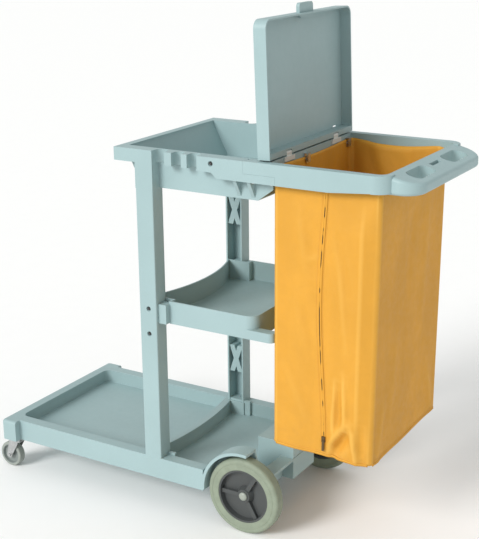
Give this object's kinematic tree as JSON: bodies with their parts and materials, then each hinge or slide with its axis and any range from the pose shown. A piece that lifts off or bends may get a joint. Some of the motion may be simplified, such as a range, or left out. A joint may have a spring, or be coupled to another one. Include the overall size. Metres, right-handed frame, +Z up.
{
  "type": "housekeeping cart",
  "caption": "Janitor cart with a front deck, shelf, top tray with tool grips, hinged lid and a hanging waste bag on large rear wheels and swivel casters.",
  "frame": {"origin": "on the floor, under the middle of the whole cart's box", "axes": "+Z up, +X towards the push handle, -X towards the casters, -Y the pusher's left"},
  "size_m": [1.243, 0.5, 1.3106],
  "materials": {
    "grey_plastic": "light blue-grey moulded polypropylene, satin, fine moulded grain",
    "yellow_vinyl": "golden yellow vinyl-coated woven fabric, satin",
    "zip_fabric": "dark brown woven zip tape with moulded teeth",
    "grey_tyre": "light greenish-grey non-marking rubber",
    "dark_plastic": "dark grey moulded plastic",
    "white_nylon": "off-white nylon",
    "steel": "plated steel",
    "zinc_steel": "zinc-plated pressed steel",
    "caster_plastic": "mid grey moulded plastic",
    "caster_rubber": "grey thermoplastic rubber"
  },
  "bodies": {
    "cart_frame": {"base_platform": "grey_plastic", "post_left": "grey_plastic", "post_right": "grey_plastic", "mid_shelf": "grey_plastic", "top_tray": "grey_plastic", "handle_frame": "grey_plastic", "lid_hinge_brackets": "white_nylon", "lid_hinge_pins": "steel", "waste_bag": "yellow_vinyl", "bag_hooks": "steel", "bag_eyelets": "steel", "zip_tape": "zip_fabric", "rear_axle": "steel", "base_screws": "steel", "shelf_screws": "steel", "beam_screws": "steel", "frame_screws": "steel", "caster_screws": "steel", "axle_spacer_left": "dark_plastic", "axle_cap_left": "white_nylon", "caster_plate_left": "zinc_steel", "caster_king_pin_left": "zinc_steel", "caster_bearing_left": "zinc_steel", "axle_spacer_right": "dark_plastic", "axle_cap_right": "white_nylon", "caster_plate_right": "zinc_steel", "caster_king_pin_right": "zinc_steel", "caster_bearing_right": "zinc_steel"},
    "lid": {"lid": "grey_plastic"},
    "zip_slider": {"zip_slider": "steel"},
    "wheel_left": {"wheel_tyre_left": "grey_tyre", "wheel_hub_left": "dark_plastic", "wheel_bush_left": "white_nylon"},
    "caster_fork_left": {"caster_fork_left": "zinc_steel", "caster_bolt_left": "zinc_steel", "caster_nut_left": "zinc_steel"},
    "caster_wheel_left": {"caster_core_left": "caster_plastic", "caster_tyre_left": "caster_rubber"},
    "wheel_right": {"wheel_tyre_right": "grey_tyre", "wheel_hub_right": "dark_plastic", "wheel_bush_right": "white_nylon"},
    "caster_fork_right": {"caster_fork_right": "zinc_steel", "caster_bolt_right": "zinc_steel", "caster_nut_right": "zinc_steel"},
    "caster_wheel_right": {"caster_core_right": "caster_plastic", "caster_tyre_right": "caster_rubber"}
  },
  "joints": [
    {"name": "lid_hinge", "type": "hinge", "parent": "cart_frame", "child": "lid", "pos_m": [0.251, 0, 0.974], "axis": [0, 1, 0], "range_deg": [0, 92]},
    {"name": "zip_slide", "type": "slide", "parent": "cart_frame", "child": "zip_slider", "axis": [0, 0.0059, 1], "range_m": [0, 0.58]},
    {"name": "wheel_left_roll", "type": "hinge", "parent": "cart_frame", "child": "wheel_left", "pos_m": [0.181, -0.2085, 0.1015], "axis": [0, 1, 0], "continuous": true},
    {"name": "caster_left_swivel", "type": "hinge", "parent": "cart_frame", "child": "caster_fork_left", "pos_m": [-0.566, -0.22, 0.083], "axis": [0, 0, 1], "continuous": true},
    {"name": "caster_left_roll", "type": "hinge", "parent": "caster_fork_left", "child": "caster_wheel_left", "pos_m": [-0.589, -0.22, 0.036], "axis": [0, 1, 0], "continuous": true},
    {"name": "wheel_right_roll", "type": "hinge", "parent": "cart_frame", "child": "wheel_right", "pos_m": [0.181, 0.2085, 0.1015], "axis": [0, 1, 0], "continuous": true},
    {"name": "caster_right_swivel", "type": "hinge", "parent": "cart_frame", "child": "caster_fork_right", "pos_m": [-0.566, 0.22, 0.083], "axis": [0, 0, 1], "continuous": true},
    {"name": "caster_right_roll", "type": "hinge", "parent": "caster_fork_right", "child": "caster_wheel_right", "pos_m": [-0.589, 0.22, 0.036], "axis": [0, 1, 0], "continuous": true}
  ]
}
